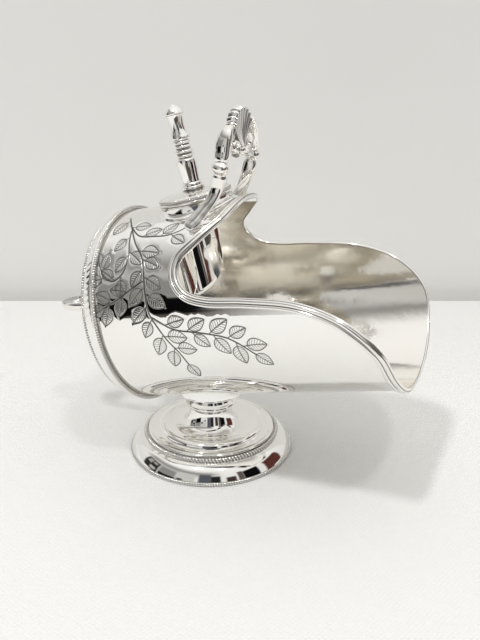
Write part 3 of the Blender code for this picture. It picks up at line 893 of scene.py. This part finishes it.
def cast_arm(stations, wide_way, leaf_share, count=130, sides=36):
    """A cast arm through (x, y, z, half width, half thickness) stations, with a veined leaf at its foot.

    Returns the solid and how much tarnish and painted shade each point gets in the leaf's veins.
    """
    path = evenly(catmull_rom(stations, 12), count)
    centres = path[:, :3]
    run = unit(np.gradient(centres, axis=0))
    across = unit(wide_way - run * (run @ wide_way)[:, None])
    outward = np.cross(run, across)
    outward *= np.sign((outward * centres * (0, 1, 0)).sum(axis=1) + 1e-9)[:, None]
    turns = full_turn(sides)
    wide, thick = np.cos(turns), np.sin(turns)
    share = np.linspace(0, 1, count)[:, None]
    leaf = np.clip((leaf_share - share) * 12, 0, 1) * np.clip(share * 14, 0, 1)
    vein = ridge(wide, 0, 0.16) + 0.7 * ridge(np.abs(wide), 0.62, 0.13)
    cut = leaf * vein * np.clip(thick, 0, 1)
    flat_back = np.where(thick < 0, 0.62, 1.0)
    squared = (np.abs(wide) ** 2.6 + np.abs(thick) ** 2.6) ** (-1 / 2.6)
    half_width = path[:, 3:4] * wide * squared
    half_thick = path[:, 4:5] * (thick * squared * flat_back - 0.22 * cut)
    rings = centres[:, None] + across[:, None] * half_width[..., None]
    rings += outward[:, None] * half_thick[..., None]
    # Painted shade and tarnish along the leaf's veins.
    shade_and_tarnish = np.concatenate([(0.8 * cut).ravel(), [0, 0]])
    return closed_rings(rings), shade_and_tarnish


def shell_solid(radius, thickness, lobes=9, spread=math.radians(43)):
    """A ribbed scallop shell in X and Z over its root: ribs in front, a lobed rim, a plain hollow back."""
    per_lobe = 10
    out = np.linspace(0, 1, 20)
    bulge = np.linspace(0.12, 0.88, 8)
    root = 0.1 * radius
    rings, shade_and_tarnish = [], []
    for share in np.linspace(-1, 1, lobes * per_lobe + 1):
        lobe = abs(math.sin(math.pi * (share + 1) / 2 * lobes))
        reach = radius * (0.95 + 0.05 * lobe**0.7 - 0.22 * share * share)
        front_r = root + (reach - root) * out
        rib = (0.16 * thickness) * (lobe**0.8 - 0.5) * np.sqrt(out)
        dish = 0.16 * thickness * np.sin(math.pi * out)
        front_y = -thickness / 2 - rib + dish
        rim_r = reach + (0.045 * radius) * np.sin(math.pi * bulge) * (0.35 + 0.65 * lobe)
        rim_y = front_y[-1] + (thickness / 2 - front_y[-1]) * bulge
        back_r = front_r[::-2]
        back_y = thickness / 2 - 0.2 * thickness * np.sin(math.pi * out[::-2])
        far = np.concatenate([front_r, rim_r, back_r])
        deep = np.concatenate([front_y, rim_y, back_y])
        heading = spread * share
        rings.append(np.stack([far * math.sin(heading), deep, far * math.cos(heading)], axis=1))
        # Painted shade and tarnish in the valleys between the ribs and the notches of the rim, a little on
        # the back and at the ends.
        valley_shade_and_tarnish = (0.25 + 0.75 * (1 - lobe) ** 1.3) * np.clip(2.2 * out, 0, 1)
        notch_shade_and_tarnish = np.full(len(bulge), (1 - lobe) ** 3 * 0.8)
        shade_and_tarnish += [valley_shade_and_tarnish, notch_shade_and_tarnish, np.full(len(back_r), 0.1)]
    return closed_rings(rings), np.concatenate([*shade_and_tarnish, [0.3, 0.3]])


def scroll_solid(side, radius, tube_r, depth):
    """A C-scroll beside the shell's root: a tapering bar that rises from the root and curls outwards."""
    turns = np.radians(np.linspace(-70, 330, 70))
    share = np.linspace(0, 1, len(turns))
    reach = radius * (1.0 - 0.68 * share)
    x = side * (2.0 * radius - reach * np.cos(turns))
    z = 0.45 * radius + reach * np.sin(turns)
    thick = tube_r * (1.0 - 0.35 * share)
    thick[-8:] *= 1 + 0.5 * np.sin(np.linspace(0, math.pi / 2, 8))
    path = np.stack([x, 0 * x, z], axis=1)
    run = unit(np.gradient(path, axis=0))
    sideways = np.cross(run, (0, 1, 0))
    around = full_turn(20)
    rings = path[:, None] + sideways[:, None] * (thick[:, None] * np.cos(around))[..., None]
    rings = rings + np.array([0, 1, 0]) * (depth * np.sin(around))[:, None]
    return closed_rings(rings)


def ball(centre, radii, rows=14, columns=24):
    """A soft boss: an ellipsoid about a centre."""
    tilts = np.linspace(0, math.pi, rows + 2)[1:-1]
    turns = full_turn(columns)
    return closed_rings([ring(turns, math.sin(a), math.cos(a)) * radii + centre for a in tilts])


def add_crest(name, radius, thickness, place):
    """The shell with its scrolls, and a boss at its root."""
    shell, shade_and_tarnish = shell_solid(radius, thickness)
    scrolls = [scroll_solid(side, 0.19 * radius, 0.075 * radius, 0.42 * thickness) for side in (-1, 1)]
    middle = (0, -0.1 * thickness, -0.02 * radius)
    boss = ball(middle, (0.11 * radius, 0.5 * thickness, 0.12 * radius))
    solid = joined(shell, *scrolls, boss)
    shade_and_tarnish = np.concatenate([shade_and_tarnish, np.zeros(len(solid[0]) - len(shade_and_tarnish))])
    add_piece(name, solid, place, CAST, shade_and_tarnish, sharp=60)


def add_arms(name, wide_way, leaf_share, *stations):
    """A pair of arms, one on each side; each is widest along wide_way."""
    for side, label in ((-1, "left"), (1, "right")):
        placed = [(x, side * y, z, width, thick) for x, y, z, width, thick in stations]
        solid, shade_and_tarnish = cast_arm(placed, wide_way, leaf_share)
        add_piece(f"{name}_{label}", solid, BARREL, CAST, shade_and_tarnish, sharp=60)


def build_top_handle():
    add_arms(
        "handle_arm", (1, 0, 0), 0.42,
        (9.6, 25.2, 39.0, 1.2, 0.8), (10.6, 24.9, 39.6, 2.9, 1.3), (12.6, 23.7, 40.9, 3.5, 1.5),
        (15.6, 21.4, 43.6, 3.1, 1.5), (19.6, 18.4, 47.6, 2.7, 1.5), (23.4, 16.6, 52.8, 2.9, 1.7),
        (25.6, 16.9, 57.0, 3.2, 1.9), (26.3, 17.1, 58.8, 2.5, 1.8), (26.7, 17.2, 59.7, 3.3, 2.8),
        (27.1, 17.2, 61.0, 3.8, 3.3), (27.5, 17.0, 62.3, 3.3, 2.8), (27.8, 16.8, 63.2, 2.5, 1.8),
        (28.1, 16.5, 64.4, 3.3, 2.1), (28.8, 15.9, 67.0, 3.6, 2.1), (29.6, 15.3, 70.2, 3.6, 2.1),
        (30.5, 14.4, 72.8, 3.3, 2.0), (31.3, 12.8, 75.4, 2.7, 1.7), (31.7, 11.4, 76.6, 2.2, 1.3),
    )
    place = BARREL @ shift(29.8, 0, 65.8) @ Matrix.Rotation(math.atan2(2.8, 17.8), 4, "Y")
    add_crest("handle_crest", 17.8, 4.4, place @ Matrix.Rotation(math.pi / 2, 4, "Z"))


def build_rear_handle():
    height = 2.5
    add_arms(
        "rear_handle_arm", (0, 0, 1), 0.4,
        (-40.2, 9.7, height, 3.2, 3.0), (-41.6, 9.6, height, 3.0, 2.8), (-43.2, 9.3, height, 2.0, 1.9),
        (-46.5, 8.0, height, 1.9, 1.5), (-52.5, 7.2, height, 2.1, 1.4), (-56.6, 7.9, height, 1.9, 1.4),
        (-58.0, 8.2, height, 2.2, 1.9), (-59.4, 8.4, height, 2.6, 2.3), (-60.8, 8.4, height, 2.2, 1.9),
        (-62.2, 8.3, height, 1.8, 1.4), (-66.5, 8.4, height, 2.2, 1.5), (-71.5, 8.2, height, 2.1, 1.4),
        (-75.4, 7.2, height, 1.8, 1.1), (-77.6, 6.6, height, 1.4, 0.9),
    )
    place = BARREL @ shift(-71.6, 0, height) @ Matrix.Rotation(-math.pi / 2, 4, "Y")
    add_crest("rear_handle_crest", 10.6, 3.0, place @ Matrix.Rotation(math.pi / 2, 4, "Z"))


# ---- Stage, light and camera ----

CAMERA_PLACE = (156.5, -338.5, 215.4)
CAMERA_YAW, CAMERA_PITCH = math.radians(-22.6), math.radians(21.73)
CAMERA_LENS = 47.6

# The cloth, as distances from the foot along the view, and the wall behind it.
TABLE_AHEAD, TABLE_BEHIND, TABLE_EDGE_R, CLOTH_HALF_WIDTH = 410.0, 215.0, 12.0, 1500.0
WALL_GAP, WALL_FOOT, WALL_TOP, WALL_HALF_WIDTH = 8.0, -80.0, 330.0, 330.0

# What the camera itself sees where the room shows past the table and the wall.
PLAIN_TONE = (0.72, 0.715, 0.69)

# The room's own brightness, its tint, and its tones from the floor (0) to the ceiling (1).
ROOM_STRENGTH = 0.95
ROOM_TINT = (1.0, 0.985, 0.955)
ROOM_TONES = ((0.0, 0.75), (0.5, 0.80), (0.62, 0.86), (0.8, 1.0), (1.0, 1.1))

# Dark and coloured cards round the studio: middle, half size and softness in degrees of (azimuth,
# elevation), and tone. Azimuth 0 is along -Y, and grows towards +X.
CARDS = (
    ((45, -46), (42, 44), (5, 1.0), (0.10, 0.083, 0.071)),
    ((-40, -46), (16, 44), (5, 1.0), (0.10, 0.083, 0.071)),
    ((-30, 38), (62, 8), (14, 9), (0.30, 0.29, 0.275)),
    ((-40, 19), (14, 10), (4, 5), (0.27, 0.265, 0.25)),
    ((-40, 3), (13, 8), (1.5, 1.5), (0.003, 0.003, 0.003)),
    ((-68, 15), (13, 14), (2, 2), (0.03, 0.03, 0.03)),
    ((-73, 20), (4, 6), (1.5, 1.5), (0.40, 0.39, 0.36)),
    ((-63, 22), (4, 4), (1.5, 1.5), (0.35, 0.34, 0.32)),
    ((-64, 8), (5, 3), (1.5, 1.5), (0.5, 0.49, 0.46)),
    ((-12, 22), (13, 11), (3, 3), (0.60, 0.59, 0.56)),
    ((-20, 12), (4, 2.5), (1, 1), (0.04, 0.04, 0.04)),
    ((-6, 7), (5, 2), (1, 1), (0.08, 0.08, 0.08)),
    ((15, 17), (9, 19), (2, 4), (0.10, 0.105, 0.125)),
    ((30, 14), (7, 17), (1.5, 2), (0.02, 0.02, 0.022)),
    ((52, 11), (7, 14), (1.5, 2), (0.05, 0.035, 0.03)),
    ((66, 16), (4, 18), (1, 2), (0.12, 0.09, 0.08)),
    ((82, 14), (12, 17), (1.5, 2), (0.005, 0.005, 0.005)),
    ((120, 12), (15, 18), (2, 2), (0.10, 0.035, 0.027)),
)

# Square soft lights: a name, a place in metres and a power in watts.
LIGHTS = (("key_light", (-0.145, -0.58, 1.45), 6.1), ("side_light", (0.51, -0.51, 1.45), 3.0))
LIGHT_SIDE = 0.13
LIGHT_AIM = (0, 0, 0.05)

# Enough for the wires, ribs and veins to mirror one another.
MIRROR_BOUNCES = 12


def view_axes():
    """The camera's forward, right and up directions."""
    sin, cos = math.sin(CAMERA_YAW), math.cos(CAMERA_YAW)
    level = math.cos(CAMERA_PITCH)
    forward = Vector((sin * level, cos * level, -math.sin(CAMERA_PITCH)))
    right = Vector((cos, -sin, 0))
    return forward, right, right.cross(forward)


def add_camera():
    forward, right, up = view_axes()
    x, y, z = CAMERA_PLACE
    camera = add_object("camera", bpy.data.cameras.new("camera"))
    turn = Matrix((right, up, -forward)).transposed().to_4x4()
    camera.matrix_world = shift(x + FOOT_X, y, z) @ turn
    camera.data.lens = CAMERA_LENS
    camera.data.clip_start = 0.01
    camera.data.clip_end = 20.0
    bpy.context.scene.camera = camera


def cloth():
    """Fine white woven cloth."""
    made, tree, shader = blank_material("white_cloth")
    place = node(tree, "ShaderNodeTexCoord", {}, "Object")
    threads = []
    for turn in (0.35, 0.35 + math.pi / 2):
        aim = node(tree, "ShaderNodeMapping", {"Vector": place, "Rotation": (0, 0, turn)}, "Vector")
        wave = {"Vector": aim, "Scale": 190.0, "Distortion": 0.6}
        threads.append(node(tree, "ShaderNodeTexWave", wave, "Fac"))
    feed(tree, shader, {
        "Base Color": (0.88, 0.878, 0.865, 1.0),
        "Roughness": 0.9,
        "Normal": bumped(tree, worked_out(tree, "MULTIPLY", *threads), 0.5, 0.0004),
    })
    return made


def wall_paint():
    """Plain pale wall paint, seen through from behind so that the object can be viewed from there."""
    made, tree, shader = blank_material("pale_wall")
    cloud = node(tree, "ShaderNodeTexNoise", {"Scale": 2.5}, "Fac")
    tint = mixed(tree, cloud, (0.91, 0.905, 0.885, 1.0), (0.93, 0.925, 0.905, 1.0))
    feed(tree, shader, {"Base Color": tint, "Roughness": 0.95})
    one_way = {
        0: node(tree, "ShaderNodeNewGeometry", {}, "Backfacing"),
        1: shader.outputs["BSDF"],
        2: node(tree, "ShaderNodeBsdfTransparent", {}, "BSDF"),
    }
    surface = node(tree, "ShaderNodeMixShader", one_way, "Shader")
    feed(tree, tree.nodes["Material Output"], {"Surface": surface})
    return made


def add_sheet(name, profile, half_width, finish):
    """A sheet across the view, from its (distance past the foot, height) profile."""
    forward, right, _ = view_axes()
    ahead = Vector((forward.x, forward.y, 0)).normalized()
    points = []
    for across in (-half_width, half_width):
        for along, height in profile:
            spot = ahead * along + right * across
            points.append(((FOOT_X + spot.x) * MM, spot.y * MM, height * MM))
    n = len(profile)
    faces = [(k, k + n, k + n + 1, k + 1) for k in range(n - 1)]
    mesh = bpy.data.meshes.new(name)
    mesh.from_pydata(points, [], faces)
    mesh.shade_smooth()
    mesh.materials.append(finish)
    add_object(name, mesh)


def build_stage():
    """A cloth-covered table in front of a plain pale wall."""
    edge = arc(TABLE_BEHIND - TABLE_EDGE_R, -TABLE_EDGE_R, TABLE_EDGE_R, 90, 0, 6)
    table = [(-TABLE_AHEAD, 0.0), (-200.0, 0.0), (0.0, 0.0), *edge, (TABLE_BEHIND, -60.0)]
    add_sheet("stage_cloth", table, CLOTH_HALF_WIDTH, cloth())
    wall = [(TABLE_BEHIND + WALL_GAP, height) for height in (WALL_FOOT, WALL_TOP)]
    add_sheet("stage_wall", wall, WALL_HALF_WIDTH, wall_paint())


def room_colour(tree, azimuth, elevation):
    """What the silver mirrors: a bright ceiling, pale walls, and dark and coloured cards on them."""
    height = worked_out(tree, "ADD", worked_out(tree, "MULTIPLY", elevation, 1 / 180), 0.5)
    ramp = tree.nodes.new("ShaderNodeValToRGB")
    feed(tree, ramp, {"Fac": height})
    while len(ramp.color_ramp.elements) < len(ROOM_TONES):
        ramp.color_ramp.elements.new(0.5)
    for stop, (where, tone) in zip(ramp.color_ramp.elements, ROOM_TONES):
        stop.position = where
        stop.color = (*(tone * share for share in ROOM_TINT), 1.0)
    colour = ramp.outputs["Color"]
    for middles, halves, softs, tone in CARDS:
        masks = []
        for angle, middle, half, soft in zip((azimuth, elevation), middles, halves, softs):
            off_middle = worked_out(tree, "ABSOLUTE", worked_out(tree, "SUBTRACT", angle, middle))
            masks.append(ranged(tree, off_middle, half + soft, half - soft, curve="SMOOTHSTEP"))
        colour = mixed(tree, worked_out(tree, "MULTIPLY", *masks), colour, (*tone, 1.0))
    return colour


def build_room():
    """The room round the table, which the camera itself sees as one plain tone."""
    world = bpy.data.worlds.new("room")
    bpy.context.scene.world = world
    world.use_nodes = True
    tree = world.node_tree
    place = node(tree, "ShaderNodeTexCoord", {}, "Generated")
    split = tree.nodes.new("ShaderNodeSeparateXYZ")
    feed(tree, split, {"Vector": place})
    back_y = worked_out(tree, "MULTIPLY", split.outputs["Y"], -1.0)
    turn = worked_out(tree, "ARCTAN2", split.outputs["X"], back_y)
    rise = worked_out(tree, "ARCSINE", split.outputs["Z"])
    azimuth, elevation = (worked_out(tree, "DEGREES", angle) for angle in (turn, rise))
    from_camera = node(tree, "ShaderNodeLightPath", {}, "Is Camera Ray")
    seen = mixed(tree, from_camera, room_colour(tree, azimuth, elevation), (*PLAIN_TONE, 1.0))
    feed(tree, tree.nodes["Background"], {"Color": seen, "Strength": ROOM_STRENGTH})


def build_lights():
    for name, place, power in LIGHTS:
        lamp = bpy.data.lights.new(name, "AREA")
        lamp.size = LIGHT_SIDE
        lamp.energy = power
        holder = add_object(name, lamp)
        holder.location = place
        ahead = Vector(LIGHT_AIM) - Vector(place)
        holder.rotation_euler = ahead.to_track_quat("-Z", "Y").to_euler()


build_barrel()
build_mouth_rim()
build_back()
build_foot()
build_collar()
build_socket()
build_scoop()
build_top_handle()
build_rear_handle()
build_stage()
build_room()
build_lights()
add_camera()
bpy.context.scene.view_settings.view_transform = "Standard"
bpy.context.scene.cycles.glossy_bounces = MIRROR_BOUNCES
